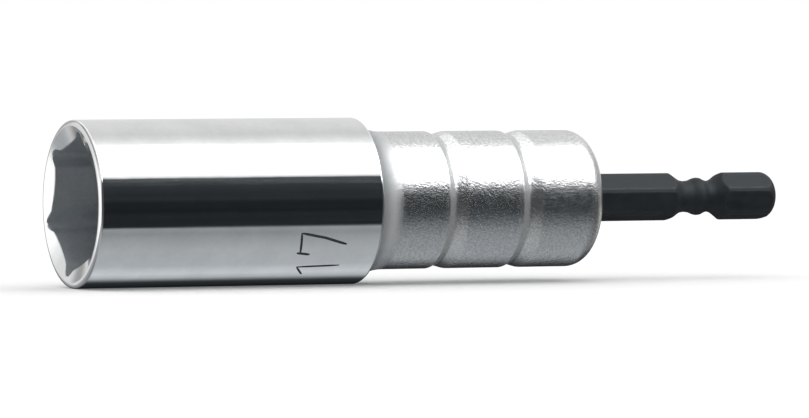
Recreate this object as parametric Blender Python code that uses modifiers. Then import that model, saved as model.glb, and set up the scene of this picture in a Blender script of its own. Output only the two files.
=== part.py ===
# Deep hex socket for a power driver, lying on its side.
# Metres, +Z up.  The tool axis is X: the mouth faces -X and the shank points to +X.
# The origin is the middle of the flat end of the shank.  Sizes are drawn in units of a
# 24-unit barrel, measured along the axis from the mouth plane and shifted by LENGTH when
# placed.  UNIT turns them into metres so that the mouth takes a 17 mm hex (17.3 mm wide).
import math
import bpy
from mathutils import Matrix

MOUTH_AF = 17.6           # mouth hex across flats, in drawing units
UNIT = 0.0173 / MOUTH_AF  # metres per drawing unit
MM = UNIT
LENGTH = 110.5            # mouth plane to shank end
CLOCK = -17.0             # degrees, first hex corner measured from +Y towards +Z
BARREL_SEG = 32           # facets of the barrel, each flat touching the true cylinder
SEG = 48                  # facets of the other large turned pieces
SEG_S = 40                # facets of the small turned pieces

# barrel
BARREL_R = 12.0
BARREL_BACK = 43.4
MOUTH_DEPTH = 16.0
MOUTH_CONE_R = 11.15
MOUTH_CONE_SLOPE = 0.33
RELIEF_R = 0.9
RELIEF_AT = 9.62
REAR_CORNER = 0.42
BARREL_BORE_R = 7.2
RECESS_FRONT = 32.0
RECESS_AF = 16.3

# spindle
SPIGOT_FRONT = 32.3
SPIGOT_BACK = 43.0
SPIGOT_AF = 16.0
SPIGOT_CORNER_R = 9.1
JOURNAL_R = 7.6
SPINDLE_BORE_R = 5.9
SPINDLE_BORE_END = 63.0
SPINDLE_BACK = 76.8
SHANK_HOLE_AF = 6.62

# sleeve
SLEEVE_R = 9.96
SLEEVE_FRONT = 43.8
FLARE_AT = 47.7           # the front of the sleeve swells from here
FLARE_R = 9.0             # radius of the swelling curve
FLARE_DEG = 24.0
SLEEVE_BACK = 79.6
SLEEVE_BORE_R = 8.5
SLEEVE_CORNER = 3.3
GROOVE_AT = (55.85, 67.5)
# a groove, from its long rear slope to its steep front: along the axis, depth
GROOVE = ((1.75, 0.0), (0.6, 0.36), (0.0, 0.50), (-0.42, 0.44), (-1.35, 0.0))

# shank
SHANK_AF = 6.41           # 6.3 mm, the quarter-inch hex
SHANK_CORNER_R = 3.54
SHANK_FRONT = 63.4
PIN_AT = 70.5
PIN_R = 1.2
PIN_HOLE_R = 1.35

# plunger
CUP_FRONT = 10.0
CUP_R = 5.15
CUP_BACK = 36.5
CUP_BORE_R = 4.45
SPRING_FRONT = 17.2
SPRING_BACK = 61.2
SPRING_COIL_R = 3.75
SPRING_WIRE_R = 0.45
SPRING_TURNS = 13

for old in list(bpy.data.objects):
    bpy.data.objects.remove(old, do_unlink=True)

parts = bpy.data.collections.new("hex_power_socket")
cutters = bpy.data.collections.new("cutters")
bpy.context.scene.collection.children.link(parts)
bpy.context.scene.collection.children.link(cutters)


def material(name, rgb, metallic, rough):
    mat = bpy.data.materials.new(name)
    mat.use_nodes = True
    node = mat.node_tree.nodes["Principled BSDF"]
    node.inputs["Base Color"].default_value = (rgb[0], rgb[1], rgb[2], 1.0)
    node.inputs["Metallic"].default_value = metallic
    node.inputs["Roughness"].default_value = rough
    mat.diffuse_color = (rgb[0], rgb[1], rgb[2], 1.0)
    return mat


def place(obj, station=0.0, turn=0.0):
    # local Z becomes the tool axis, station in mm from the mouth
    obj.matrix_world = (Matrix.Translation(((station - LENGTH) * MM, 0.0, 0.0))
                        @ Matrix.Rotation(math.radians(turn), 4, 'X')
                        @ Matrix.Rotation(math.radians(90.0), 4, 'Y'))


def finish(obj, mat, home=parts):
    for c in list(obj.users_collection):
        c.objects.unlink(obj)
    home.objects.link(obj)
    if mat is not None:
        obj.data.materials.clear()
        obj.data.materials.append(mat)
    if home is cutters:
        obj.hide_render = True
        obj.display_type = 'WIRE'
    return obj


def turned(name, profile, seg, closed, mat, home=parts, turn=0.0):
    # profile: (station, radius) in mm, outer side from the back of the tool to the front
    verts = [(r * MM, 0.0, s * MM) for s, r in profile]
    edges = [(i, i + 1) for i in range(len(verts) - 1)]
    if closed:
        edges.append((len(verts) - 1, 0))
    mesh = bpy.data.meshes.new(name)
    mesh.from_pydata(verts, edges, [])
    obj = bpy.data.objects.new(name, mesh)
    bpy.context.scene.collection.objects.link(obj)
    mod = obj.modifiers.new("turn", 'SCREW')
    mod.axis = 'Z'
    mod.angle = 2.0 * math.pi
    mod.steps = seg
    mod.render_steps = seg
    mod.use_merge_vertices = True
    mod.merge_threshold = 1e-6
    mod.use_smooth_shade = False
    place(obj, 0.0, turn)
    return finish(obj, mat, home)


def cut(obj, tool, operation='DIFFERENCE'):
    mod = obj.modifiers.new(tool.name, 'BOOLEAN')
    mod.operation = operation
    mod.solver = 'EXACT'
    mod.object = tool


def hex_prism(name, across_flats, s0, s1, mat=None, home=cutters):
    radius = across_flats / 2.0 / math.cos(math.pi / 6.0)
    bpy.ops.mesh.primitive_cylinder_add(vertices=6, radius=radius * MM, depth=(s1 - s0) * MM)
    obj = bpy.context.active_object
    obj.name = name
    place(obj, (s0 + s1) / 2.0, CLOCK)
    return finish(obj, mat, home)


def round_bar(name, radius, s0, s1, at_radius, angle, seg):
    bpy.ops.mesh.primitive_cylinder_add(vertices=seg, radius=radius * MM, depth=(s1 - s0) * MM)
    obj = bpy.context.active_object
    obj.name = name
    a = math.radians(angle)
    place(obj, (s0 + s1) / 2.0)
    obj.matrix_world = Matrix.Translation((0.0, at_radius * MM * math.cos(a),
                                           at_radius * MM * math.sin(a))) @ obj.matrix_world
    return finish(obj, None, cutters)


def wire_ring(name, ring_r, wire_r, station, gap_deg, turn, mat, points=36):
    curve = bpy.data.curves.new(name, 'CURVE')
    curve.dimensions = '3D'
    curve.bevel_depth = wire_r * MM
    curve.bevel_resolution = 1
    curve.use_fill_caps = True
    spline = curve.splines.new('POLY')
    spline.points.add(points - 1)
    for i in range(points):
        a = math.radians(gap_deg / 2.0 + (360.0 - gap_deg) * i / (points - 1))
        spline.points[i].co = (ring_r * MM * math.cos(a), ring_r * MM * math.sin(a), 0.0, 1.0)
    obj = bpy.data.objects.new(name, curve)
    bpy.context.scene.collection.objects.link(obj)
    place(obj, station, turn)
    return finish(obj, mat)


def flat_ring(name, outline, thickness, station, turn, mat):
    curve = bpy.data.curves.new(name, 'CURVE')
    curve.dimensions = '2D'
    curve.fill_mode = 'BOTH'
    curve.extrude = thickness / 2.0 * MM
    spline = curve.splines.new('POLY')
    spline.points.add(len(outline) - 1)
    for p, (x, y) in zip(spline.points, outline):
        p.co = (x * MM, y * MM, 0.0, 1.0)
    spline.use_cyclic_u = True
    obj = bpy.data.objects.new(name, curve)
    bpy.context.scene.collection.objects.link(obj)
    place(obj, station, turn)
    return finish(obj, mat)


def open_ring_outline(inner, outer, gap_deg, count):
    pts = []
    for i in range(count):
        a = math.radians(gap_deg / 2.0 + (360.0 - gap_deg) * i / (count - 1))
        pts.append((outer * math.cos(a), outer * math.sin(a)))
    for i in reversed(range(count)):
        a = math.radians(gap_deg / 2.0 + (360.0 - gap_deg) * i / (count - 1))
        pts.append((inner * math.cos(a), inner * math.sin(a)))
    return pts


chrome = material("polished_chrome", (0.80, 0.81, 0.83), 1.0, 0.06)
satin = material("satin_plating", (0.66, 0.67, 0.68), 1.0, 0.34)
black = material("black_oxide", (0.045, 0.045, 0.048), 0.6, 0.42)
steel = material("turned_steel", (0.42, 0.42, 0.43), 1.0, 0.35)
spring_steel = material("spring_steel", (0.28, 0.28, 0.30), 1.0, 0.35)
bronze = material("sintered_bronze", (0.55, 0.36, 0.16), 1.0, 0.45)
polymer = material("washer_polymer", (0.75, 0.73, 0.66), 0.0, 0.5)
rubber = material("dust_rubber", (0.02, 0.02, 0.02), 0.0, 0.7)
nickel = material("magnet_nickel", (0.60, 0.59, 0.56), 1.0, 0.2)
brass = material("collar_brass", (0.70, 0.52, 0.22), 1.0, 0.3)

# ---------------------------------------------------------------- barrel
# a flat of the barrel faces down, so that it lies still
wide = 1.0 / math.cos(math.pi / BARREL_SEG)
cone_in = MOUTH_CONE_SLOPE * (MOUTH_CONE_R - BARREL_BORE_R)
barrel = turned("socket_barrel", [
    (BARREL_BACK, (BARREL_R - REAR_CORNER) * wide),
    (BARREL_BACK - REAR_CORNER * 0.3, (BARREL_R - REAR_CORNER * 0.3) * wide),
    (BARREL_BACK - REAR_CORNER, BARREL_R * wide),
    (22.0, BARREL_R * wide),
    (0.5, BARREL_R * wide),
    (0.13, (BARREL_R - 0.16) * wide),
    (0.0, (BARREL_R - 0.45) * wide),
    (0.0, MOUTH_CONE_R),
    (cone_in, BARREL_BORE_R),
    (22.0, BARREL_BORE_R),
    (BARREL_BACK, BARREL_BORE_R),
], BARREL_SEG, True, chrome, parts, 180.0 / BARREL_SEG)
cut(barrel, hex_prism("cut_mouth", MOUTH_AF, -3.0, MOUTH_DEPTH))
for k in range(6):
    cut(barrel, round_bar("cut_relief_%d" % k, RELIEF_R, -3.0, MOUTH_DEPTH - 0.2,
                          RELIEF_AT, CLOCK + 60.0 * k, 12))
cut(barrel, hex_prism("cut_recess", RECESS_AF, RECESS_FRONT, BARREL_BACK + 3.0))
cut(barrel, turned("cut_barrel_ring_groove", [(38.75, 8.95), (37.25, 8.95), (37.25, 6.0), (38.75, 6.0)],
                   SEG, True, None, cutters))

# ---------------------------------------------------------------- spindle
spindle = turned("spindle", [
    (SPINDLE_BACK, JOURNAL_R - 1.2),
    (SPINDLE_BACK - 1.2, JOURNAL_R),
    (61.1, JOURNAL_R),
    (61.1, 7.25),
    (59.3, 7.25),
    (59.3, JOURNAL_R),
    (SPIGOT_BACK, JOURNAL_R),
    (SPIGOT_BACK, SPIGOT_CORNER_R),
    (38.75, SPIGOT_CORNER_R),
    (38.75, 7.5),
    (37.25, 7.5),
    (37.25, SPIGOT_CORNER_R),
    (SPIGOT_FRONT + 0.5, SPIGOT_CORNER_R),
    (SPIGOT_FRONT, SPIGOT_CORNER_R - 0.5),
    (SPIGOT_FRONT, SPINDLE_BORE_R),
    (33.75, SPINDLE_BORE_R),
    (33.75, 6.4),
    (35.05, 6.4),
    (35.05, SPINDLE_BORE_R),
    (SPINDLE_BORE_END, SPINDLE_BORE_R),
    (SPINDLE_BORE_END, 2.6),
    (SPINDLE_BACK, 2.6),
], SEG, True, steel)
# the spigot in front is milled to a hex, the journal behind stays round
spigot_keep = hex_prism("keep_spigot", SPIGOT_AF, SPIGOT_FRONT - 3.0, SPIGOT_BACK + 0.4)
keep_round = turned("keep_journal", [(SPINDLE_BACK + 3.0, 0.0), (SPINDLE_BACK + 3.0, 13.0),
                                     (SPIGOT_BACK + 0.2, 13.0), (SPIGOT_BACK + 0.2, 0.0)],
                    SEG, False, None, cutters)
cut(spigot_keep, keep_round, 'UNION')
cut(spindle, spigot_keep, 'INTERSECT')
cut(spindle, hex_prism("cut_shank_hole", SHANK_HOLE_AF, SPINDLE_BORE_END - 1.0, SPINDLE_BACK + 3.0))


def pin_bar(name, radius, half, seg):
    bpy.ops.mesh.primitive_cylinder_add(vertices=seg, radius=radius * MM, depth=2.0 * half * MM)
    obj = bpy.context.active_object
    obj.name = name
    obj.matrix_world = (Matrix.Translation(((PIN_AT - LENGTH) * MM, 0.0, 0.0))
                        @ Matrix.Rotation(math.radians(CLOCK + 30.0), 4, 'X')
                        @ Matrix.Rotation(math.radians(-90.0), 4, 'X'))
    return finish(obj, None, cutters)


pin_hole = pin_bar("cut_pin_hole", PIN_HOLE_R, 12.0, 20)
cut(spindle, pin_hole)

# ---------------------------------------------------------------- shank
shank_profile = [
    (LENGTH, 0.0),
    (LENGTH, 1.3),
    (LENGTH - 0.22, 2.1),
    (LENGTH - 0.75, 2.8),
    (LENGTH - 1.5, 3.25),
    (LENGTH - 2.3, SHANK_CORNER_R),
    (102.15, SHANK_CORNER_R),
    (101.2, 2.85),
    (100.5, 2.43),
    (99.9, 2.28),
    (99.2, 2.45),
    (98.6, 2.72),
    (98.2, 2.76),
    (97.7, 2.66),
    (96.9, 2.36),
    (96.1, 2.28),
    (95.3, 2.42),
    (94.6, 2.80),
    (93.4, SHANK_CORNER_R),
    (SHANK_FRONT + 0.5, SHANK_CORNER_R),
    (SHANK_FRONT, SHANK_CORNER_R - 0.6),
    (SHANK_FRONT, 0.0),
]
shank = turned("hex_shank", shank_profile, SEG_S, False, black)
cut(shank, hex_prism("keep_shank_hex", SHANK_AF, SHANK_FRONT - 2.0, LENGTH + 2.0), 'INTERSECT')
cut(shank, pin_hole)

# slotted spring pin across spindle and shank
pin = flat_ring("shank_pin", open_ring_outline(0.72, PIN_R, 24.0, 18), 14.6, 0.0, 0.0, spring_steel)
pin.matrix_world = (Matrix.Translation(((PIN_AT - LENGTH) * MM, 0.0, 0.0))
                    @ Matrix.Rotation(math.radians(CLOCK + 30.0), 4, 'X')
                    @ Matrix.Rotation(math.radians(-90.0), 4, 'X'))

# ---------------------------------------------------------------- sleeve
sleeve_out = []
corner_s = SLEEVE_BACK - SLEEVE_CORNER
corner_r = SLEEVE_R - SLEEVE_CORNER
for i in range(7):
    b = math.radians(90.0 - 15.0 * i)
    sleeve_out.append((corner_s + SLEEVE_CORNER * math.sin(b), corner_r + SLEEVE_CORNER * math.cos(b)))
for g in reversed(GROOVE_AT):
    sleeve_out += [(g + along, SLEEVE_R - deep) for along, deep in GROOVE]
for i in range(5):
    b = math.radians(FLARE_DEG * i / 4.0)
    sleeve_out.append((FLARE_AT - FLARE_R * math.sin(b), SLEEVE_R + FLARE_R * (1.0 - math.cos(b))))
flare_top = SLEEVE_R + FLARE_R * (1.0 - math.cos(math.radians(FLARE_DEG)))
sleeve_out += [
    (SLEEVE_FRONT + 0.07, flare_top + 0.04),
    (SLEEVE_FRONT, flare_top - 0.12),
    (SLEEVE_FRONT, 8.9),
    (44.7, 8.9),
    (44.7, SLEEVE_BORE_R),
    (59.3, SLEEVE_BORE_R),
    (59.3, 8.85),
    (61.1, 8.85),
    (61.1, SLEEVE_BORE_R),
    (75.3, SLEEVE_BORE_R),
    (77.7, 7.1),
    (77.7, 3.9),
    (SLEEVE_BACK, 3.9),
]
turned("guide_sleeve", sleeve_out, SEG, True, satin)

turned("front_bush", [(54.2, 8.4), (46.2, 8.4), (46.2, 7.7), (54.2, 7.7)], SEG, True, bronze)
turned("rear_bush", [(74.0, 8.4), (66.0, 8.4), (66.0, 7.7), (74.0, 7.7)], SEG, True, bronze)
turned("front_washer", [(44.5, 8.75), (43.6, 8.75), (43.6, 7.75), (44.5, 7.75)], SEG, True, polymer)
turned("rear_washer", [(77.5, 6.5), (77.0, 6.5), (77.0, 4.2), (77.5, 4.2)], SEG_S, True, polymer)
dust = [(45.35 + 0.37 * math.sin(math.radians(a)), 8.05 + 0.37 * math.cos(math.radians(a)))
        for a in (90, 30, -30, -90, -150, 150)]
turned("front_dust_ring", dust, SEG, True, rubber)
turned("rear_dust_ring", [(s + 29.65, r) for s, r in dust], SEG, True, rubber)
wire_ring("sleeve_snap_ring", 8.05, 0.6, 60.2, 24.0, 200.0, spring_steel)
wire_ring("barrel_lock_ring", 8.2, 0.52, 38.0, 30.0, 40.0, spring_steel)

# ---------------------------------------------------------------- sprung magnet
turned("plunger_cup", [
    (17.0, 0.0),
    (17.0, CUP_BORE_R),
    (CUP_BACK, CUP_BORE_R),
    (CUP_BACK, 5.7),
    (35.2, 5.7),
    (35.2, CUP_R),
    (22.0, CUP_R),
    (CUP_FRONT + 0.4, CUP_R),
    (CUP_FRONT, CUP_R - 0.3),
    (CUP_FRONT, CUP_BORE_R),
    (15.3, CUP_BORE_R),
    (15.3, 0.0),
], SEG_S, False, steel)
turned("magnet_collar", [(15.1, 4.35), (10.25, 4.35), (10.25, 3.65), (15.1, 3.65)], SEG_S, True, brass)
turned("magnet", [(15.1, 0.0), (15.1, 3.5), (10.65, 3.5), (10.4, 3.25), (10.4, 0.0)], SEG_S, False, nickel)
flat_ring("stop_ring", open_ring_outline(5.35, 6.2, 50.0, 30), 0.9, 34.4, 120.0, spring_steel)
turned("spring_seat", [(62.8, 0.0), (62.8, 5.6), (61.4, 5.6), (61.4, 0.0)], SEG_S, False, steel)

coil = bpy.data.curves.new("plunger_spring", 'CURVE')
coil.dimensions = '3D'
coil.bevel_depth = SPRING_WIRE_R * MM
coil.bevel_resolution = 1
coil.use_fill_caps = True
per_turn = 14
count = SPRING_TURNS * per_turn + 1
spline = coil.splines.new('POLY')
spline.points.add(count - 1)
run = SPRING_BACK - SPRING_FRONT - 2.0 * SPRING_WIRE_R - 0.1
for i in range(count):
    f = i / (count - 1)
    # closed coil at each end, open pitch between
    ends = 1.0 / SPRING_TURNS
    if f < ends:
        g = 0.024 * f / ends
    elif f > 1.0 - ends:
        g = 1.0 - 0.024 * (1.0 - f) / ends
    else:
        g = 0.024 + (1.0 - 0.048) * (f - ends) / (1.0 - 2.0 * ends)
    a = 2.0 * math.pi * SPRING_TURNS * f
    spline.points[i].co = (SPRING_COIL_R * MM * math.cos(a), SPRING_COIL_R * MM * math.sin(a),
                           (SPRING_WIRE_R + 0.05 + run * g) * MM, 1.0)
spring = bpy.data.objects.new("plunger_spring", coil)
bpy.context.scene.collection.objects.link(spring)
place(spring, SPRING_FRONT)
finish(spring, spring_steel)
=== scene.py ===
# Looks of the deep hex socket for a power driver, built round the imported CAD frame.
# Drawing units as in the CAD: stations run along the tool axis from the mouth plane,
# angles run round the axis from +Y towards +Z.
import math

import bmesh
import bpy
import numpy as np
from mathutils import Matrix, Vector


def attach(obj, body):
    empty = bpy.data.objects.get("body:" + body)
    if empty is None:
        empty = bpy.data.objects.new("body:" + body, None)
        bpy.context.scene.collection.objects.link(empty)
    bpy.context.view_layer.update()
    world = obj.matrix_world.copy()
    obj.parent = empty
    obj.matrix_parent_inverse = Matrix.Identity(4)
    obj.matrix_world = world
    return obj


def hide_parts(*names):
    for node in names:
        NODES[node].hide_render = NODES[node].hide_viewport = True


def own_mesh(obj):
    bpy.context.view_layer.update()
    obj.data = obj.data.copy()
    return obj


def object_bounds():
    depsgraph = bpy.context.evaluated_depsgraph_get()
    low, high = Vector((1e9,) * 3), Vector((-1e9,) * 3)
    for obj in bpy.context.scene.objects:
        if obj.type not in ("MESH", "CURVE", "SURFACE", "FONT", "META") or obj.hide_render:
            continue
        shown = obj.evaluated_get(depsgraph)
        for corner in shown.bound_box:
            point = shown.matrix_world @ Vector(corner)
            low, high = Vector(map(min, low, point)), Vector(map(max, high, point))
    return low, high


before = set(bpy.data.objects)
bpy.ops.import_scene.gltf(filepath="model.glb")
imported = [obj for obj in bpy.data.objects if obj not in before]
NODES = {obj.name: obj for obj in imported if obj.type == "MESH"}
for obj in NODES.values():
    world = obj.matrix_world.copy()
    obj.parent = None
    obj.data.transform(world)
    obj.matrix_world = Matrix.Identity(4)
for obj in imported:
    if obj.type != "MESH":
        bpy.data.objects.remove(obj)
cad_low, cad_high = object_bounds()

U = 0.0173 / 17.6         # metres per drawing unit
LENGTH = 110.5
CLOCK = -17.0             # first hex corner, degrees
scene = bpy.context.scene


# ------------------------------------------------------------------ materials
def tree_of(name):
    mat = bpy.data.materials.new(name)
    mat.use_nodes = True
    nt = mat.node_tree
    return mat, nt, nt.nodes["Principled BSDF"]


def coords(nt, scale):
    tc = nt.nodes.new("ShaderNodeTexCoord")
    mp = nt.nodes.new("ShaderNodeMapping")
    mp.inputs["Scale"].default_value = scale
    nt.links.new(tc.outputs["Object"], mp.inputs["Vector"])
    return mp.outputs["Vector"]


def noise(nt, scale, detail=3.0, rough=0.55, distortion=0.0):
    n = nt.nodes.new("ShaderNodeTexNoise")
    n.inputs["Scale"].default_value = 1.0
    n.inputs["Detail"].default_value = detail
    n.inputs["Roughness"].default_value = rough
    n.inputs["Distortion"].default_value = distortion
    nt.links.new(coords(nt, scale), n.inputs["Vector"])
    return n.outputs["Fac"]


def ramp(nt, fac, stops):
    r = nt.nodes.new("ShaderNodeValToRGB")
    el = r.color_ramp.elements
    while len(el) > 1:
        el.remove(el[-1])
    el[0].position = stops[0][0]
    el[0].color = (*stops[0][1], 1.0)
    for p, c in stops[1:]:
        e = el.new(p)
        e.color = (*c, 1.0)
    nt.links.new(fac, r.inputs["Fac"])
    return r.outputs["Color"]


def span(nt, fac, a, b, lo, hi):
    m = nt.nodes.new("ShaderNodeMapRange")
    m.inputs["From Min"].default_value = a
    m.inputs["From Max"].default_value = b
    m.inputs["To Min"].default_value = lo
    m.inputs["To Max"].default_value = hi
    nt.links.new(fac, m.inputs["Value"])
    return m.outputs["Result"]


def math_node(nt, op, a, b=None):
    m = nt.nodes.new("ShaderNodeMath")
    m.operation = op
    for i, v in enumerate((a, b)):
        if v is None:
            continue
        if isinstance(v, (int, float)):
            m.inputs[i].default_value = v
        else:
            nt.links.new(v, m.inputs[i])
    return m.outputs[0]


def bump(nt, height, strength, distance, before=None):
    b = nt.nodes.new("ShaderNodeBump")
    b.inputs["Strength"].default_value = strength
    b.inputs["Distance"].default_value = distance
    nt.links.new(height, b.inputs["Height"])
    if before is not None:
        nt.links.new(before, b.inputs["Normal"])
    return b.outputs["Normal"]


def colour_mix(nt, fac, a, b):
    m = nt.nodes.new("ShaderNodeMix")
    m.data_type = 'RGBA'
    nt.links.new(fac, m.inputs[0])
    for i, v in ((6, a), (7, b)):
        if isinstance(v, tuple):
            m.inputs[i].default_value = (*v, 1.0)
        else:
            nt.links.new(v, m.inputs[i])
    return m.outputs[2]


def chrome_material(name):
    # mirror plating: faint cloudiness, hair-fine polishing lines along the barrel
    mat, nt, p = tree_of(name)
    p.inputs["Metallic"].default_value = 1.0
    cloud = noise(nt, (220.0, 220.0, 220.0), 5.0, 0.65)
    nt.links.new(ramp(nt, cloud, [(0.30, (0.845, 0.853, 0.853)), (0.70, (0.950, 0.957, 0.956))]),
                 p.inputs["Base Color"])
    lines = noise(nt, (28.0, 1500.0, 1500.0), 4.0, 0.62)
    nt.links.new(span(nt, lines, 0.36, 0.66, 0.025, 0.100), p.inputs["Roughness"])
    soft = noise(nt, (220.0, 340.0, 340.0), 2.0)
    n = bump(nt, soft, 0.30, 0.00002)
    n = bump(nt, lines, 0.22, 0.000004, n)
    nt.links.new(n, p.inputs["Normal"])
    return mat


def satin_material(name, rough, depth, grain):
    # blasted and plated: bright metal with a fine pebbled surface
    mat, nt, p = tree_of(name)
    fine = noise(nt, (grain, grain, grain), 3.0, 0.62)
    broad = noise(nt, (grain * 0.22,) * 3, 3.0, 0.6)
    cloud = noise(nt, (70.0, 70.0, 70.0), 3.0)
    # the polishing wheel does not reach the hollows, which stay matt and pale like frosted plating
    hollow = nt.nodes.new("ShaderNodeAttribute")
    hollow.attribute_name = "hollow"
    nt.links.new(span(nt, hollow.outputs["Fac"], 0.0, 1.0, 1.0, 0.45), p.inputs["Metallic"])
    face = ramp(nt, cloud, [(0.30, (0.75, 0.76, 0.765)), (0.70, (0.82, 0.828, 0.832))])
    pits = ramp(nt, fine, [(0.30, (0.76, 0.76, 0.76)), (0.62, (1.0, 1.0, 1.0))])
    shade = nt.nodes.new("ShaderNodeMix")
    shade.data_type, shade.blend_type = 'RGBA', 'MULTIPLY'
    shade.inputs[0].default_value = 1.0
    nt.links.new(face, shade.inputs[6])
    nt.links.new(pits, shade.inputs[7])
    # and painted shade, darkest right in the corner at the barrel and in the grooves, where the barrel's rear face and
    # the groove walls keep the light off
    corner = nt.nodes.new("ShaderNodeAttribute")
    corner.attribute_name = "corner"
    frosted_with_corner_shade = colour_mix(nt, corner.outputs["Fac"], (0.470, 0.486, 0.496), (0.290, 0.302, 0.310))
    nt.links.new(colour_mix(nt, hollow.outputs["Fac"], shade.outputs[2], frosted_with_corner_shade), p.inputs["Base Color"])
    nt.links.new(math_node(nt, 'ADD', span(nt, broad, 0.3, 0.7, rough - 0.015, rough + 0.025),
                           math_node(nt, 'MULTIPLY', hollow.outputs["Fac"], 0.20)), p.inputs["Roughness"])
    n = bump(nt, fine, 0.55, depth)
    n = bump(nt, broad, 0.35, depth * 1.6, n)
    nt.links.new(n, p.inputs["Normal"])
    return mat


def metal_material(name, lo, hi, r0, r1, grain, lines=None, depth=0.000006, metallic=1.0):
    mat, nt, p = tree_of(name)
    p.inputs["Metallic"].default_value = metallic
    fine = noise(nt, (grain, grain, grain), 4.0, 0.6)
    cloud = noise(nt, (grain * 0.08,) * 3, 3.0)
    mixed = math_node(nt, 'ADD', fine, cloud)
    nt.links.new(ramp(nt, span(nt, mixed, 0.7, 1.3, 0.0, 1.0), [(0.0, lo), (1.0, hi)]), p.inputs["Base Color"])
    if lines:
        tool = noise(nt, lines, 2.0, 0.6)
        nt.links.new(span(nt, tool, 0.3, 0.7, r0, r1), p.inputs["Roughness"])
        nt.links.new(bump(nt, tool, 0.35, depth), p.inputs["Normal"])
    else:
        nt.links.new(span(nt, fine, 0.3, 0.7, r0, r1), p.inputs["Roughness"])
        nt.links.new(bump(nt, fine, 0.35, depth), p.inputs["Normal"])
    return mat


def oxide_material(name):
    # black oxide with a trace of oil, rubbed lighter along the edges
    mat, nt, p = tree_of(name)
    p.inputs["Metallic"].default_value = 0.75
    fine = noise(nt, (5200.0, 5200.0, 5200.0), 3.0, 0.6)
    cloud = noise(nt, (260.0, 420.0, 420.0), 4.0, 0.6)
    base = ramp(nt, cloud, [(0.30, (0.0235, 0.0280, 0.0310)), (0.70, (0.0385, 0.0450, 0.0500))])
    worn = nt.nodes.new("ShaderNodeAttribute")
    worn.attribute_name = "edge_wear"
    chip = noise(nt, (900.0, 1800.0, 1800.0), 4.0, 0.65)
    amount = math_node(nt, 'MULTIPLY', worn.outputs["Fac"], span(nt, chip, 0.32, 0.72, 0.0, 1.0))
    nt.links.new(colour_mix(nt, amount, base, (0.048, 0.054, 0.059)), p.inputs["Base Color"])
    nt.links.new(math_node(nt, 'SUBTRACT', span(nt, cloud, 0.3, 0.7, 0.57, 0.68),
                           math_node(nt, 'MULTIPLY', amount, 0.08)), p.inputs["Roughness"])
    grind = noise(nt, (120.0, 3600.0, 3600.0), 2.0, 0.6)
    n = bump(nt, fine, 0.25, 0.000010)
    n = bump(nt, grind, 0.25, 0.000006, n)
    nt.links.new(n, p.inputs["Normal"])
    return mat


def plain_material(name, lo, hi, r0, r1, grain, depth):
    mat, nt, p = tree_of(name)
    fine = noise(nt, (grain, grain, grain), 4.0, 0.6)
    cloud = noise(nt, (grain * 0.1,) * 3, 3.0)
    nt.links.new(ramp(nt, cloud, [(0.3, lo), (0.7, hi)]), p.inputs["Base Color"])
    nt.links.new(span(nt, fine, 0.3, 0.7, r0, r1), p.inputs["Roughness"])
    nt.links.new(bump(nt, fine, 0.4, depth), p.inputs["Normal"])
    return mat


chrome = chrome_material("polished_chrome")
satin = satin_material("satin_plating", 0.245, 0.000092, 3000.0)
bore = metal_material("bore_plating", (0.690, 0.730, 0.768), (0.830, 0.866, 0.898), 0.42, 0.58, 2400.0,
                      (2200.0, 160.0, 160.0), 0.000008)
etched = metal_material("etched_mark", (0.030, 0.031, 0.033), (0.075, 0.076, 0.078), 0.5, 0.65, 4000.0, None,
                        0.000008, 0.4)
oxide = oxide_material("black_oxide")
steel = metal_material("turned_steel", (0.36, 0.36, 0.37), (0.50, 0.50, 0.51), 0.24, 0.36, 2600.0,
                       (5200.0, 90.0, 90.0))
spring_steel = metal_material("spring_steel", (0.24, 0.24, 0.26), (0.34, 0.34, 0.36), 0.26, 0.40, 3000.0)
bronze = metal_material("sintered_bronze", (0.44, 0.27, 0.11), (0.62, 0.42, 0.20), 0.36, 0.52, 3600.0, None, 0.000014)
nickel = metal_material("magnet_nickel", (0.55, 0.54, 0.51), (0.66, 0.65, 0.62), 0.14, 0.24, 1800.0)
brass = metal_material("collar_brass", (0.62, 0.45, 0.18), (0.76, 0.58, 0.27), 0.22, 0.34, 2400.0,
                       (4200.0, 120.0, 120.0))
polymer = plain_material("washer_polymer", (0.68, 0.66, 0.59), (0.78, 0.76, 0.69), 0.42, 0.55, 2600.0, 0.000008)
rubber = plain_material("dust_rubber", (0.014, 0.014, 0.015), (0.028, 0.028, 0.028), 0.55, 0.72, 3200.0, 0.000012)


# ------------------------------------------------------------------ mesh helpers
def axial(s):
    return (s - LENGTH) * U


def make_object(name, verts, faces, mats, face_mat=None):
    mesh = bpy.data.meshes.new(name)
    mesh.from_pydata([tuple(v) for v in verts], [], faces)
    for m in mats:
        mesh.materials.append(m)
    if face_mat is not None:
        mesh.polygons.foreach_set("material_index", np.array(face_mat, np.int32))
    mesh.polygons.foreach_set("use_smooth", np.ones(len(mesh.polygons), bool))
    mesh.update()
    obj = bpy.data.objects.new(name, mesh)
    scene.collection.objects.link(obj)
    return obj


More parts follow.
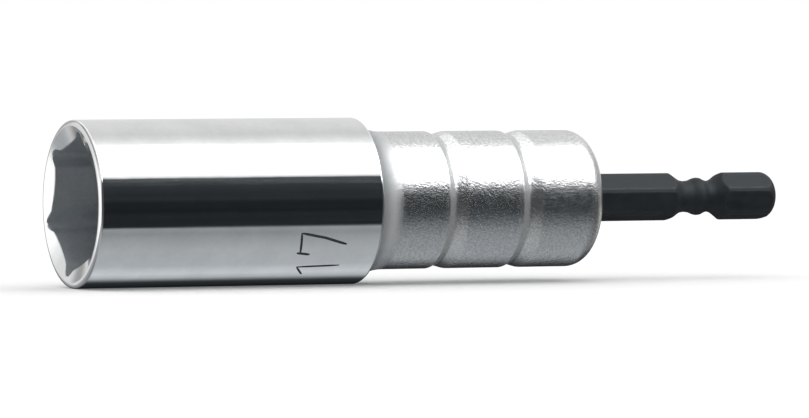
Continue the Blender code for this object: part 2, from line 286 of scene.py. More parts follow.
def rounded(corners, closed, step=15.0, longest=4.0):
    """Profile points (s, r, normal s, normal r, zone) from corners (s, r, radius, zone)."""
    corners = [(c[0], c[1], c[2] if len(c) > 2 else 0.03, c[3] if len(c) > 3 else 0) for c in corners]
    n = len(corners)
    out = []
    for i, (s, r, f, zone) in enumerate(corners):
        p = np.array((s, r))
        before = corners[i - 1] if (closed or i > 0) else None
        after = corners[(i + 1) % n] if (closed or i < n - 1) else None
        if before is None or after is None:
            other = np.array((after or before)[:2])
            d = (other - p) if after else (p - other)
            d = d / np.linalg.norm(d)
            out.append((s, r, d[1], -d[0], zone))
            continue
        a, b = np.array(before[:2]) - p, np.array(after[:2]) - p
        la, lb = np.linalg.norm(a), np.linalg.norm(b)
        a, b = a / la, b / lb
        half = math.acos(max(-1.0, min(1.0, float(a @ b)))) / 2.0
        t = min(f / math.tan(half), 0.48 * la, 0.48 * lb)
        f = t * math.tan(half)
        turn = math.pi - 2.0 * half
        count = max(2, int(math.ceil(math.degrees(turn) / step)) + 1)
        t0 = math.atan2(-a[1], -a[0])
        t1 = math.atan2(b[1], b[0])
        dt = (t1 - t0 + math.pi) % (2.0 * math.pi) - math.pi
        mid = (a + b) / np.linalg.norm(a + b)
        centre = p + mid * f / math.sin(half)
        side = 1.0 if dt > 0 else -1.0
        for k in range(count):
            ang = t0 + dt * k / (count - 1)
            tan = np.array((math.cos(ang), math.sin(ang)))
            q = centre + f * side * np.array((tan[1], -tan[0]))
            out.append((q[0], q[1], tan[1], -tan[0], zone))
    full = []
    m = len(out)
    for i in range(m):
        full.append(out[i])
        if i == m - 1 and not closed:
            break
        q0, q1 = out[i], out[(i + 1) % m]
        gap = math.hypot(q1[0] - q0[0], q1[1] - q0[1])
        parts = int(gap // longest)
        for k in range(1, parts + 1):
            f = k / (parts + 1)
            full.append((q0[0] + (q1[0] - q0[0]) * f, q0[1] + (q1[1] - q0[1]) * f, q0[2], q0[3], q0[4]))
    return full


def turned(name, corners, closed, mats, seg=192, step=15.0, longest=4.0):
    prof = rounded(corners, closed, step, longest)
    psi = np.arange(seg) * 2.0 * math.pi / seg
    verts, normals, ring, poles = [], [], [], []
    for s, r, ns, nr, zone in prof:
        start = len(verts)
        if r < 1e-6:
            verts.append((axial(s), 0.0, 0.0))
            normals.append((1.0 if ns > 0 else -1.0, 0.0, 0.0))
            poles.append(True)
        else:
            for a in psi:
                verts.append((axial(s), r * math.cos(a) * U, r * math.sin(a) * U))
                normals.append((ns, nr * math.cos(a), nr * math.sin(a)))
            poles.append(False)
        ring.append(start)
    faces, zones = [], []
    m = len(prof)
    for i in range(m if closed else m - 1):
        j = (i + 1) % m
        for k in range(seg):
            l = (k + 1) % seg
            if poles[i]:
                faces.append((ring[i], ring[j] + k, ring[j] + l))
            elif poles[j]:
                faces.append((ring[i] + k, ring[j], ring[i] + l))
            else:
                faces.append((ring[i] + k, ring[j] + k, ring[j] + l, ring[i] + l))
            zones.append(prof[i][4])
    obj = make_object(name, verts, faces, mats, zones)
    obj.data.normals_split_custom_set_from_vertices(normals)
    return obj


def swept(name, points, radius, sides, loop, mat):
    """Round wire along points (metres)."""
    pts = [Vector(p) for p in points]
    n = len(pts)
    tangents = []
    for i in range(n):
        a = pts[i - 1] if (loop or i > 0) else pts[i]
        b = pts[(i + 1) % n] if (loop or i < n - 1) else pts[i]
        tangents.append((b - a).normalized())
    up = Vector((1.0, 0.0, 0.0))
    if abs(up.dot(tangents[0])) > 0.9:
        up = Vector((0.0, 1.0, 0.0))
    nrm = (up - tangents[0] * up.dot(tangents[0])).normalized()
    verts, faces = [], []
    for i in range(n):
        t = tangents[i]
        nrm = (nrm - t * nrm.dot(t)).normalized()
        bin_ = t.cross(nrm)
        for k in range(sides):
            a = 2.0 * math.pi * k / sides
            verts.append(pts[i] + (nrm * math.cos(a) + bin_ * math.sin(a)) * radius)
    for i in range(n if loop else n - 1):
        j = (i + 1) % n
        for k in range(sides):
            l = (k + 1) % sides
            faces.append((i * sides + k, i * sides + l, j * sides + l, j * sides + k))
    if not loop:
        # slightly domed ends
        for i, sign in ((0, -1.0), (n - 1, 1.0)):
            tip = len(verts)
            verts.append(pts[i] + tangents[i] * sign * radius * 0.45)
            for k in range(sides):
                l = (k + 1) % sides
                quad = (i * sides + l, i * sides + k, tip) if i == 0 else (i * sides + k, i * sides + l, tip)
                faces.append(quad)
    obj = make_object(name, verts, faces, [mat])
    bm = bmesh.new()
    bm.from_mesh(obj.data)
    bmesh.ops.recalc_face_normals(bm, faces=bm.faces)
    bm.to_mesh(obj.data)
    bm.free()
    return obj


def stand_for(obj, node, body):
    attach(obj, body)
    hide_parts(node)
    return obj


def smooth(x):
    x = np.clip(x, 0.0, 1.0)
    return x * x * (3.0 - 2.0 * x)


# ------------------------------------------------------------------ barrel
BARREL_R = 12.0
MOUTH_AF = 17.6
CONE_R = 11.15
SLOPE = 0.33
RELIEF = 0.55
sector = ([0.0, 0.8, 1.6, 2.4, 3.2, 4.0, 5.0, 6.0, 7.2, 8.6] + list(np.linspace(10.0, 50.0, 28))
          + [51.4, 52.8, 54.0, 55.0, 56.0, 56.8, 57.6, 58.4, 59.2])
cols = np.array([CLOCK + 60.0 * k + d for k in range(6) for d in sector])
ncol = len(cols)
psi = np.radians(cols)
near = np.abs((cols - CLOCK + 30.0) % 60.0 - 30.0)          # degrees from the nearest corner
hex_unit = 1.0 / np.cos(np.radians(30.0 - near))            # hex outline for a unit inner circle
mouth_r = MOUTH_AF / 2.0 * hex_unit + RELIEF * (1.0 - smooth((near - 4.0) / 6.5))
# blunt corners
BLUNT_R = 10.52
short = BLUNT_R - mouth_r
mouth_r = BLUNT_R - 0.5 * (short + np.sqrt(short ** 2 + 0.006))
recess_r = 16.3 / 2.0 * hex_unit
ones = np.ones(ncol)

rows = []            # (s array, r array, zone of the strip that follows, sharp)


def row(s, r, zone=0, sharp=False):
    rows.append((s * ones, r * ones, zone, sharp))


row(43.4, recess_r, 1, True)
REAR = 0.42
for k in range(9):
    t = math.radians(90.0 * k / 8)
    row(43.4 - REAR + REAR * math.cos(t), BARREL_R - REAR + REAR * math.sin(t), 0)
for s in (40.0, 36.0, 32.0, 28.0, 24.0, 20.0, 16.0, 12.0, 8.0, 4.0):
    row(s, BARREL_R, 0)
EDGE_S, EDGE_R = 0.5, 0.85        # the rim is slightly crowned
for k in range(15):
    t = math.radians(90.0 * k / 14)
    row(EDGE_S - EDGE_S * math.sin(t), BARREL_R - EDGE_R + EDGE_R * math.cos(t), 0, k == 14)
BREAK = 0.10
lip = SLOPE * (CONE_R - mouth_r - BREAK)
row(lip, mouth_r + BREAK, 0, True)
row(lip + 0.11, mouth_r, 1, True)
row(6.0, mouth_r, 1)
row(11.0, mouth_r, 1)
row(15.6, mouth_r, 1)
row(15.9, mouth_r - 0.12, 1)
row(16.0, mouth_r - 0.42, 1)
row(16.0, 7.35, 1, True)
row(16.15, 7.2, 1, True)
row(24.0, 7.2, 1)
row(32.0, 7.2, 1, True)
row(32.0, recess_r, 1, True)
row(37.25, recess_r, 1, True)
row(37.25, np.maximum(recess_r, 8.95), 1, True)
row(38.75, np.maximum(recess_r, 8.95), 1, True)
row(38.75, recess_r, 1, True)

verts, faces, zones = [], [], []
for s, r, zone, sharp in rows:
    for j in range(ncol):
        verts.append((axial(s[j]), r[j] * math.cos(psi[j]) * U, r[j] * math.sin(psi[j]) * U))
nrow = len(rows)
for i in range(nrow):
    i2 = (i + 1) % nrow
    for j in range(ncol):
        j2 = (j + 1) % ncol
        ids = (i * ncol + j, i2 * ncol + j, i2 * ncol + j2, i * ncol + j2)
        keep = []
        for v in ids:
            if not any((Vector(verts[v]) - Vector(verts[w])).length < 1e-9 for w in keep):
                keep.append(v)
        if len(keep) > 2:
            faces.append(tuple(keep))
            zones.append(rows[i][2])
barrel = make_object("socket_barrel_plated", verts, faces, [chrome, bore, etched], zones)
bm = bmesh.new()
bm.from_mesh(barrel.data)
bmesh.ops.remove_doubles(bm, verts=bm.verts, dist=1e-8)
bm.to_mesh(barrel.data)
bm.free()


def stroke(name, path, width, depth):
    """Cutter for one stroke of the size number: path of (s, angle) on the barrel."""
    pts = []
    for (s0, a0), (s1, a1) in zip(path, path[1:]):
        for k in range(8):
            pts.append((s0 + (s1 - s0) * k / 8.0, a0 + (a1 - a0) * k / 8.0))
    pts.append(path[-1])
    arc = math.radians(1.0) * BARREL_R
    v, f = [], []
    n = len(pts)
    for i, (s, a) in enumerate(pts):
        s_a, a_a = pts[max(0, i - 1)]
        s_b, a_b = pts[min(n - 1, i + 1)]
        d = np.array((s_b - s_a, (a_b - a_a) * arc))
        d = d / np.linalg.norm(d)
        px, pa = -d[1], d[0] / arc
        taper = 0.55 if i in (0, n - 1) else (0.85 if i in (1, n - 2) else 1.0)
        for w, r in ((width * 1.35, BARREL_R + 0.25), (-width * 1.35, BARREL_R + 0.25),
                     (-width * 0.55, BARREL_R - depth), (width * 0.55, BARREL_R - depth)):
            ss, aa = s + px * w * taper, math.radians(a + pa * w * taper)
            v.append((axial(ss), r * math.cos(aa) * U, r * math.sin(aa) * U))
    for i in range(n - 1):
        for k in range(4):
            l = (k + 1) % 4
            f.append((i * 4 + k, i * 4 + l, i * 4 + 4 + l, i * 4 + 4 + k))
    f.append((0, 1, 2, 3))
    f.append(((n - 1) * 4 + 3, (n - 1) * 4 + 2, (n - 1) * 4 + 1, (n - 1) * 4))
    obj = make_object(name, v, f, [etched])
    b = bmesh.new()
    b.from_mesh(obj.data)
    bmesh.ops.recalc_face_normals(b, faces=b.faces)
    b.to_mesh(obj.data)
    b.free()
    return obj


# the plain size number, along the axis with its head towards the mouth
strokes = [
    stroke("cut_one_stem", [(31.35, 229.3), (37.9, 228.0)], 0.23, 0.14),
    stroke("cut_one_flag", [(31.45, 229.6), (32.75, 238.2)], 0.19, 0.13),
    stroke("cut_seven_bar", [(30.85, 200.2), (31.2, 216.2)], 0.21, 0.14),
    stroke("cut_seven_tick", [(30.65, 215.9), (32.7, 217.4)], 0.25, 0.15),
    stroke("cut_seven_leg", [(30.95, 200.4), (34.6, 204.0), (38.05, 209.2)], 0.24, 0.15),
]
for tool in strokes:
    mod = barrel.modifiers.new(tool.name, 'BOOLEAN')
    mod.operation = 'DIFFERENCE'
    mod.solver = 'EXACT'
    mod.material_mode = 'TRANSFER'
    mod.object = tool
bpy.context.view_layer.update()
cut_mesh = bpy.data.meshes.new_from_object(barrel.evaluated_get(bpy.context.evaluated_depsgraph_get()))
barrel.modifiers.clear()
old = barrel.data
barrel.data = cut_mesh
cut_mesh.name = "socket_barrel_plated"
bpy.data.meshes.remove(old)
for tool in strokes:
    bpy.data.objects.remove(tool, do_unlink=True)

mesh = barrel.data
mesh.polygons.foreach_set("use_smooth", np.ones(len(mesh.polygons), bool))
mesh.set_sharp_from_angle(angle=math.radians(27.0))
co = np.zeros(len(mesh.vertices) * 3)
mesh.vertices.foreach_get("co", co)
co = co.reshape(-1, 3)
vs = co[:, 0] / U + LENGTH
vr = np.hypot(co[:, 1], co[:, 2]) / U
# the edge between the flat rim and the countersink is crisp too
sharp_name = "sharp_edge"
if sharp_name not in mesh.attributes:
    mesh.attributes.new(sharp_name, 'BOOLEAN', 'EDGE')
flags = np.zeros(len(mesh.edges), bool)
mesh.attributes[sharp_name].data.foreach_get("value", flags)
ev = np.zeros(len(mesh.edges) * 2, np.int32)
mesh.edges.foreach_get("vertices", ev)
ev = ev.reshape(-1, 2)
on_rim = (np.abs(vr - CONE_R) < 1e-3) & (np.abs(vs) < 1e-3)
flags |= on_rim[ev[:, 0]] & on_rim[ev[:, 1]]
mesh.attributes[sharp_name].data.foreach_set("value", flags)
mesh.update()
normals = np.zeros(len(mesh.loops) * 3)
mesh.corner_normals.foreach_get("vector", normals)
normals = normals.reshape(-1, 3)
lv = np.zeros(len(mesh.loops), np.int32)
mesh.loops.foreach_get("vertex_index", lv)
face_n = np.zeros(len(mesh.polygons) * 3)
mesh.polygons.foreach_get("normal", face_n)
face_n = face_n.reshape(-1, 3)
totals = np.zeros(len(mesh.polygons), np.int32)
mesh.polygons.foreach_get("loop_total", totals)
loop_face = np.repeat(np.arange(len(mesh.polygons)), totals)
rad = co[lv][:, 1:] / np.maximum(vr[lv] * U, 1e-9)[:, None]
radial = np.column_stack([np.zeros(len(lv)), rad])
ls, lr = vs[lv], vr[lv]
up_face = (face_n[loop_face] * radial).sum(1)
body_loops = (lr > BARREL_R - 0.004) & (ls > EDGE_S - 1e-3) & (ls < 43.4 - REAR + 1e-3) & (up_face > 0.9)
normals[body_loops] = radial[body_loops]
front = (lr >= BARREL_R - EDGE_R - 1e-3) & (ls < EDGE_S - 1e-3) & (up_face > 0.0)
st = np.clip((EDGE_S - ls) / EDGE_S, 0, 1)
ct = np.clip((lr - BARREL_R + EDGE_R) / EDGE_R, 0, 1)
n_front = np.column_stack([-st / EDGE_S, (ct / EDGE_R)[:, None] * rad])
n_front /= np.linalg.norm(n_front, axis=1)[:, None]
normals[front] = n_front[front]
rear = (ls > 43.4 - REAR + 1e-3) & (lr >= BARREL_R - REAR - 1e-3)
n_rear = np.column_stack([(ls - 43.4 + REAR) / REAR, ((lr - BARREL_R + REAR) / REAR)[:, None] * rad])
n_rear /= np.maximum(np.linalg.norm(n_rear, axis=1), 1e-9)[:, None]
normals[rear] = n_rear[rear]
mesh.normals_split_custom_set([tuple(v) for v in normals])
stand_for(barrel, "socket_barrel", "driver")


# ------------------------------------------------------------------ sleeve
SLEEVE_R = 9.96
outer = [(79.6, 3.9, 0.30), (79.6, SLEEVE_R, 3.3)]
for g in (67.5, 55.85):
    # each groove falls steeply on the mouth side and rises gently behind
    outer += [(g + 1.75, SLEEVE_R, 2.2), (g, SLEEVE_R - 0.50, 0.7), (g - 0.42, SLEEVE_R - 0.44, 0.55),
              (g - 1.35, SLEEVE_R, 0.9)]
# the front opens out towards the barrel in a shallow hollow curve
FLARE_AT, FLARE_R = 47.7, 9.0
for k in range(13):
    b = math.radians(2.0 * k)
    outer.append((FLARE_AT - FLARE_R * math.sin(b), SLEEVE_R + FLARE_R * (1.0 - math.cos(b)), FLARE_R))
outer += [(43.8, 10.87, 0.22), (43.8, 8.9, 0.10, 1),
          (44.7, 8.9, 0.03, 1), (44.7, 8.5, 0.05, 1), (59.3, 8.5, 0.05, 1), (59.3, 8.85, 0.03, 1),
          (61.1, 8.85, 0.03, 1), (61.1, 8.5, 0.05, 1), (75.3, 8.5, 0.3, 1), (77.7, 7.1, 0.1, 1),
          (77.7, 3.9, 0.05, 1)]
sleeve = turned("guide_sleeve_satin", outer, True, [satin, bore], 256, 7.5, 1.2)
place = np.zeros(len(sleeve.data.vertices) * 3)
sleeve.data.vertices.foreach_get("co", place)
place = place.reshape(-1, 3)
at_s = place[:, 0] / U + LENGTH
hollow = 1.0 - smooth((at_s - 45.3) / 2.3)
# corner carries painted shade: darkest against the barrel's rear face, fading out within about two units, and on the
# steep mouth-side groove walls
corner = 1.0 - smooth((at_s - 43.9) / 1.9)
for g in (67.5, 55.85):
    wall = np.exp(-((at_s - g + 0.85) / 0.45) ** 2)
    hollow = np.maximum(hollow, 0.68 * wall)
    corner = np.maximum(corner, 0.60 * wall)
for attr, amount in (("hollow", hollow), ("corner", corner)):
    mark = sleeve.data.attributes.new(attr, 'FLOAT', 'POINT')
    mark.data.foreach_set("value", amount.astype(np.float32))
stand_for(sleeve, "guide_sleeve", "sleeve")


# ------------------------------------------------------------------ shank
SHANK_AF = 6.41
SHANK_CORNER_R = 3.54
flat_cols = [0.0, 1.4, 2.6, 3.5, 4.2, 4.9, 5.6, 6.3, 7.2, 8.6, 10.5, 13.0, 17.0, 21.5, 26.0]
shank_sector = flat_cols + [30.0] + [60.0 - d for d in reversed(flat_cols[1:])]
scol = np.array([CLOCK + 60.0 * k + d for k in range(6) for d in shank_sector])
spsi = np.radians(scol)
snear = np.abs((scol - CLOCK + 30.0) % 60.0 - 30.0)
shex = SHANK_AF / 2.0 / np.cos(np.radians(30.0 - snear))
groove = np.array([
    (93.2, 3.60), (93.4, 3.54), (94.0, 3.19), (94.6, 2.80), (95.3, 2.42), (96.1, 2.28), (96.9, 2.36), (97.7, 2.66),
    (98.2, 2.76), (98.6, 2.72), (99.2, 2.45), (99.9, 2.28), (100.5, 2.43), (101.2, 2.85), (101.7, 3.20),
    (102.15, 3.54), (102.4, 3.60)])


def curve_through(points, xs):
    """Smooth curve through points with slopes that never overshoot."""
    x, y = points[:, 0], points[:, 1]
    h = np.diff(x)
    d = np.diff(y) / h
    m = np.zeros(len(x))
    m[0], m[-1] = d[0], d[-1]
    for i in range(1, len(x) - 1):
        if d[i - 1] * d[i] > 0:
            w1, w2 = 2 * h[i] + h[i - 1], h[i] + 2 * h[i - 1]
            m[i] = (w1 + w2) / (w1 / d[i - 1] + w2 / d[i])
    k = np.clip(np.searchsorted(x, xs) - 1, 0, len(x) - 2)
    t = (xs - x[k]) / h[k]
    return ((2 * t**3 - 3 * t**2 + 1) * y[k] + (t**3 - 2 * t**2 + t) * h[k] * m[k]
            + (-2 * t**3 + 3 * t**2) * y[k + 1] + (t**3 - t**2) * h[k] * m[k + 1])


stations = []                                             # (s, turned radius) from the back to the front
for k in range(12):
    t = math.radians(90.0 - 90.0 * k / 11)
    stations.append((108.2 + 2.3 * math.sin(t), 1.3 + (SHANK_CORNER_R - 1.3) * math.cos(t)))
for s in (106.6, 105.0, 103.6):
    stations.append((s, SHANK_CORNER_R))
gs = np.arange(102.36, 93.22, -0.16)
for s, r in zip(gs, curve_through(groove, gs)):
    stations.append((float(s), min(float(r), SHANK_CORNER_R)))
for s in (93.0, 91.0, 88.0, 85.0, 82.0, 79.0, 76.0, 73.0, 70.0, 67.0, 64.6):
    stations.append((s, SHANK_CORNER_R))
stations += [(63.9, SHANK_CORNER_R), (63.7, 3.2), (63.45, 2.9), (63.4, 2.75)]

verts, wear = [], []
pole0 = 0
verts.append((axial(LENGTH), 0.0, 0.0))
wear.append(0.15)
for s, rt in stations:
    a, b = shex, np.full(len(scol), rt)
    # edges are a little rounded, and fade softly where the flats run out into the grooves
    soft = 0.07 + 0.20 * float(smooth((s - 93.0) / 1.0) * (1.0 - smooth((s - 101.6) / 1.0)))
    h = np.clip(0.5 + 0.5 * (b - a) / soft, 0.0, 1.0)
    r = b * (1 - h) + a * h - soft * h * (1 - h) * 0.5
    edge = np.exp(-((a - b) / 0.07) ** 2)
    for j in range(len(scol)):
        verts.append((axial(s), r[j] * math.cos(spsi[j]) * U, r[j] * math.sin(spsi[j]) * U))
        wear.append(float(edge[j]))
pole1 = len(verts)
verts.append((axial(63.4), 0.0, 0.0))
wear.append(0.0)
faces = []
n = len(scol)
for j in range(n):
    faces.append((pole0, 1 + j, 1 + (j + 1) % n))
for i in range(len(stations) - 1):
    for j in range(n):
        j2 = (j + 1) % n
        faces.append((1 + i * n + j, 1 + (i + 1) * n + j, 1 + (i + 1) * n + j2, 1 + i * n + j2))
last = 1 + (len(stations) - 1) * n
for j in range(n):
    faces.append((last + j, pole1, last + (j + 1) % n))
shank = make_object("hex_shank_oxide", verts, faces, [oxide])
at = shank.data.attributes.new("edge_wear", 'FLOAT', 'POINT')
at.data.foreach_set("value", np.array(wear, np.float32))
shank.data.set_sharp_from_angle(angle=math.radians(40.0))
stand_for(shank, "hex_shank", "driver")


# ------------------------------------------------------------------ sprung magnet
cup = turned("plunger_cup_turned", [
    (17.0, 0.0), (17.0, 4.45, 0.2), (36.5, 4.45, 0.12), (36.5, 5.7, 0.15), (35.2, 5.7, 0.12), (35.2, 5.15, 0.08),
    (10.0, 5.15, 0.32), (10.0, 4.45, 0.14), (15.3, 4.45, 0.1), (15.3, 0.0)], False, [steel], 160, 15.0)
stand_for(cup, "plunger_cup", "plunger")
magnet = turned("magnet_disc", [(15.1, 0.0), (15.1, 3.5, 0.15), (10.4, 3.5, 0.28), (10.4, 0.0)], False, [nickel], 128,
                12.0)
stand_for(magnet, "magnet", "plunger")
collar = turned("magnet_collar_turned", [(15.1, 4.35, 0.08), (10.25, 4.35, 0.12), (10.25, 3.65, 0.12),
                                         (15.1, 3.65, 0.08)], True, [brass], 128)
stand_for(collar, "magnet_collar", "plunger")
seat = turned("spring_seat_turned", [(62.8, 0.0), (62.8, 5.6, 0.2), (61.4, 5.6, 0.2), (61.4, 0.0)], False, [steel], 96)
stand_for(seat, "spring_seat", "driver")

SPRING_FRONT, SPRING_BACK, SPRING_R, WIRE, TURNS = 17.2, 61.2, 3.75, 0.45, 13
run = SPRING_BACK - SPRING_FRONT - 2.0 * WIRE - 0.1
path = []
total = TURNS * 36
for i in range(total + 1):
    f = i / total
    ends = 1.0 / TURNS
    if f < ends:
        g = 0.024 * f / ends
    elif f > 1.0 - ends:
        g = 1.0 - 0.024 * (1.0 - f) / ends
    else:
        g = 0.024 + (1.0 - 0.048) * (f - ends) / (1.0 - 2.0 * ends)
    a = 2.0 * math.pi * TURNS * f
    # the CAD coil starts on -Z and winds towards +Y
    path.append((axial(SPRING_FRONT + WIRE + 0.05 + run * g), SPRING_R * math.sin(a) * U, -SPRING_R * math.cos(a) * U))
spring = swept("plunger_spring_wire", path, WIRE * U, 14, False, spring_steel)
stand_for(spring, "plunger_spring", "driver")
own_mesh(spring)


# ------------------------------------------------------------------ bushes, washers and rings
for name, node, body, slot, mat, corners in (
        ("front_bush_sintered", "front_bush", "sleeve", "sintered_bronze", bronze,
         [(54.2, 8.4, 0.15), (46.2, 8.4, 0.15), (46.2, 7.7, 0.15), (54.2, 7.7, 0.15)]),
        ("rear_bush_sintered", "rear_bush", "sleeve", "sintered_bronze", bronze,
         [(74.0, 8.4, 0.15), (66.0, 8.4, 0.15), (66.0, 7.7, 0.15), (74.0, 7.7, 0.15)]),
        ("front_washer_ring", "front_washer", "driver", "washer_polymer", polymer,
         [(44.5, 8.75, 0.12), (43.6, 8.75, 0.12), (43.6, 7.75, 0.12), (44.5, 7.75, 0.12)]),
        ("rear_washer_ring", "rear_washer", "driver", "washer_polymer", polymer,
         [(77.5, 6.5, 0.10), (77.0, 6.5, 0.10), (77.0, 4.2, 0.10), (77.5, 4.2, 0.10)])):
    stand_for(turned(name, corners, True, [mat], 128), node, body)
for name, node, centre in (("front_dust_ring_moulded", "front_dust_ring", 45.35),
                           ("rear_dust_ring_moulded", "rear_dust_ring", 75.0)):
    circle = [(axial(centre), 8.05 * U * math.cos(2 * math.pi * k / 120), 8.05 * U * math.sin(2 * math.pi * k / 120))
              for k in range(120)]
    stand_for(swept(name, circle, 0.36 * U, 16, True, rubber), node, "driver")
for name, node, centre, ring_r, wire, gap, start in (
        ("sleeve_snap_ring_wire", "sleeve_snap_ring", 60.2, 8.05, 0.59, 24.0, 200.0),
        ("barrel_lock_ring_wire", "barrel_lock_ring", 38.0, 8.2, 0.51, 30.0, 40.0)):
    arc = []
    for k in range(97):
        a = math.radians(gap / 2.0 + (360.0 - gap) * k / 96 + start - 90.0)
        arc.append((axial(centre), ring_r * U * math.cos(a), ring_r * U * math.sin(a)))
    stand_for(swept(name, arc, wire * U, 14, False, spring_steel), node, "driver")

# CAD nodes that stay as they are, with finished materials
for node, mat in (("spindle", steel), ("shank_pin", spring_steel), ("stop_ring", spring_steel)):
    data = NODES[node].data
    data.materials.clear()
    data.materials.append(mat)


# ------------------------------------------------------------------ floor and studio
floor_mesh = bpy.data.meshes.new("floor")
fz, fs = cad_low.z - 0.00002, 6.0
floor_mesh.from_pydata([(-fs, -fs, fz), (fs, -fs, fz), (fs, fs, fz), (-fs, fs, fz)], [], [(0, 1, 2, 3)])
floor = bpy.data.objects.new("floor", floor_mesh)
scene.collection.objects.link(floor)
pale, fnt, fp = tree_of("pale_floor")
tone = noise(fnt, (3.0, 3.0, 3.0), 2.0)
fnt.links.new(ramp(fnt, tone, [(0.3, (0.93, 0.93, 0.93)), (0.7, (0.95, 0.95, 0.95))]), fp.inputs["Base Color"])
fp.inputs["Roughness"].default_value = 0.9
fp.inputs["Specular IOR Level"].default_value = 0.0
floor_mesh.materials.append(pale)
floor.visible_glossy = False

world = bpy.data.worlds.new("studio")
scene.world = world
world.use_nodes = True
world.cycles.sampling_method = 'NONE'
wt = world.node_tree
wt.nodes.clear()
wout = wt.nodes.new("ShaderNodeOutputWorld")
wbg = wt.nodes.new("ShaderNodeBackground")
wt.links.new(wbg.outputs[0], wout.inputs["Surface"])
tc = wt.nodes.new("ShaderNodeTexCoord")
sep = wt.nodes.new("ShaderNodeSeparateXYZ")
wt.links.new(tc.outputs["Generated"], sep.inputs[0])
dx, dy, dz = sep.outputs


def srgb(v):
    c = v / 255.0
    return c / 12.92 if c <= 0.04045 else ((c + 0.055) / 1.055) ** 2.4


def grey(v, gain=1.09):
    # how light a strip of the room looks in the plating, as a display level
    x = srgb(v) * gain
    return (x, x, x)


def cool(v):
    # the same with the slightly blue cast of the lower half of the room, strongest where it is dark
    x = srgb(v) * 1.09
    k = min(1.0, max(0.0, (v - 40.0) / 90.0))
    return (x * (0.85 + 0.10 * k), x, x * (1.125 - 0.08 * k))


def around(deg):
    return (deg + 180.0) / 360.0


# soft boxes, a dark room behind the camera and the table, all as strips along the tool
angle = math_node(wt, 'ARCTAN2', dz, math_node(wt, 'MULTIPLY', dy, -1.0))
turn = span(wt, angle, -math.pi, math.pi, 0.0, 1.0)
white = (1.16, 1.16, 1.16)
lamp = (4.4, 4.4, 4.4)
strip_a = ramp(wt, turn, [
    (around(-180), cool(200)), (around(-176), cool(14)), (around(-152), cool(30)), (around(-138), cool(45)),
    (around(-133), cool(70)),
    (around(-128), cool(125)), (around(-122), cool(172)), (around(-112), cool(196)), (around(-103), cool(188)),
    (around(-94), cool(172)), (around(-66), cool(166)), (around(-48), cool(149)), (around(-41), cool(138)),
    (around(-33.6), cool(146)), (around(-31.2), cool(36)), (around(-14), cool(36)), (around(-9), cool(29)),
    (around(2), cool(33)), (around(7), cool(45)), (around(13), cool(42)), (around(24), cool(52)),
    (around(35.2), cool(74)), (around(37.4), grey(235)), (around(40), grey(253)), (around(46), lamp),
    (around(84), lamp), (around(88.5), grey(252)), (around(92.7), grey(238)), (around(101), grey(217)),
    (around(110), grey(205)), (around(131), grey(213)), (around(180), grey(219))])
strip_b = ramp(wt, turn, [
    (around(-180), grey(150)), (around(-140), grey(110)), (around(-110), grey(130)), (around(-85), grey(160)),
    (around(-60), grey(165)), (around(-40), grey(150)), (around(-28), grey(100)), (around(-16), grey(76)),
    (around(0), grey(70)), (around(34), grey(80)), (around(40), grey(240)), (around(70), grey(225)),
    (around(110), grey(200)), (around(142), grey(190)), (around(153), grey(165)), (around(180), grey(150))])
# further along the room the boxes are wider and their edges lie elsewhere
strip_c = ramp(wt, turn, [
    (around(-180), cool(200)), (around(-176), cool(190)), (around(-172), cool(60)), (around(-140), cool(52)),
    (around(-126), cool(85)), (around(-112), cool(132)),
    (around(-100), cool(142)), (around(-81), cool(145)), (around(-64), cool(141)), (around(-48), cool(121)),
    (around(-35), cool(96)), (around(-28), cool(78)), (around(0), cool(66)), (around(18), cool(72)),
    (around(30), cool(96)), (around(34.5), lamp), (around(88), lamp), (around(95), grey(250)),
    (around(108), grey(238)), (around(122), grey(236)), (around(137), grey(228)), (around(160), grey(222)),
    (around(180), grey(215))])
bands = colour_mix(wt, math_node(wt, 'MAXIMUM', span(wt, dx, 0.410, 0.470, 0.0, 1.0),
                                 span(wt, dx, 0.325, 0.265, 0.0, 1.0)), strip_a, strip_c)
# straight out from the tool the upper box reaches further back and the table is lighter
strip_d = ramp(wt, turn, [
    (around(-180), cool(200)), (around(-172), cool(60)), (around(-140), cool(60)), (around(-126), cool(110)),
    (around(-112), cool(165)), (around(-100), cool(182)), (around(-81), cool(186)), (around(-64), cool(178)),
    (around(-48), cool(145)), (around(-35), cool(104)), (around(-28), cool(78)), (around(0), cool(66)),
    (around(18), cool(72)), (around(30), cool(96)), (around(34.5), lamp), (around(88), lamp),
    (around(96), (1.5, 1.5, 1.5)), (around(138), (1.4, 1.4, 1.4)), (around(150), grey(228)), (around(180), grey(215))])
bands = colour_mix(wt, span(wt, dx, 0.24, 0.14, 0.0, 1.0), bands, strip_d)
side_a = span(wt, dx, 0.04, -0.12, 0.0, 1.0)
bands = colour_mix(wt, side_a, bands, strip_b)
height = span(wt, dz, -1.0, 1.0, 0.0, 1.0)
ends = [(0.0, cool(112)), (0.15, cool(126)), (0.22, cool(146)), (0.30, cool(152)), (0.36, cool(158))]
roof = [(0.66, grey(218)), (0.735, grey(215)), (0.76, grey(125)), (0.84, grey(115)), (0.865, grey(205)), (1.0, grey(215))]
near_left = ramp(wt, height, ends + [(0.385, grey(208)), (0.58, grey(214))] + roof)
end_left = ramp(wt, height, ends + [(0.382, white), (0.58, white)] + roof)
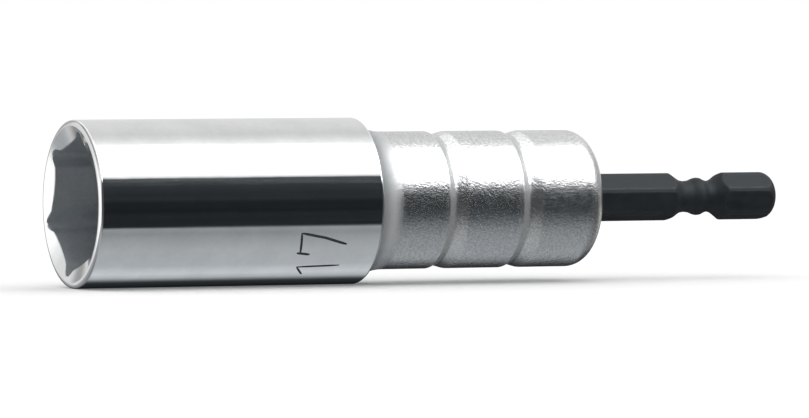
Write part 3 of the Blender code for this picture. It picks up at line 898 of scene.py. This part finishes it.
# the left end of the room is only bright behind the tool; on the camera's side it stays dark
behind = span(wt, dy, -0.30, 0.10, 0.0, 1.0)
bands = colour_mix(wt, math_node(wt, 'MULTIPLY', span(wt, dx, -0.22, -0.36, 0.0, 1.0), behind), bands, near_left)
bands = colour_mix(wt, math_node(wt, 'MULTIPLY', span(wt, dx, -0.60, -0.76, 0.0, 1.0), behind), bands, end_left)
end_right = ramp(wt, turn, [
    (around(-180), grey(205)), (around(-150), grey(200)), (around(-130), grey(165)), (around(-109), grey(100)),
    (around(-60), grey(90)), (around(-33), grey(85)), (around(-28), grey(76)), (around(30), grey(84)),
    (around(40), grey(180)), (around(70), grey(170)), (around(100), grey(145)), (around(140), grey(165)),
    (around(180), grey(200))])
bands = colour_mix(wt, span(wt, dx, 0.62, 0.92, 0.0, 1.0), bands, end_right)
lp = wt.nodes.new("ShaderNodeLightPath")
plain = colour_mix(wt, lp.outputs["Is Camera Ray"], (1.12, 1.12, 1.12), (1.0, 1.0, 1.0))
wt.links.new(colour_mix(wt, lp.outputs["Is Glossy Ray"], plain, bands), wbg.inputs["Color"])
wbg.inputs["Strength"].default_value = 1.0
scene.view_settings.view_transform = 'Standard'
scene.view_settings.look = 'None'


# ------------------------------------------------------------------ camera
YAW, RISE = math.radians(23.314), math.radians(1.773)
back = Vector((-math.sin(YAW) * math.cos(RISE), -math.cos(YAW) * math.cos(RISE), math.sin(RISE)))
right = Vector((math.cos(YAW), -math.sin(YAW), 0.0))
up = right.cross(-back)
aim = Vector((axial(53.0), 0.0, 0.0)) - right * 1.355 * U - up * 1.314 * U
cam_data = bpy.data.cameras.new("camera")
cam = bpy.data.objects.new("camera", cam_data)
scene.collection.objects.link(cam)
cam.location = aim + back * 1000.0 * U
cam.rotation_mode = 'QUATERNION'
cam.rotation_quaternion = (-back).to_track_quat('-Z', 'Y')
cam_data.sensor_width = 36.0
cam_data.lens = 36.0 * 6908.1 / 809.0
cam_data.clip_start = 0.05
cam_data.clip_end = 50.0
scene.camera = cam
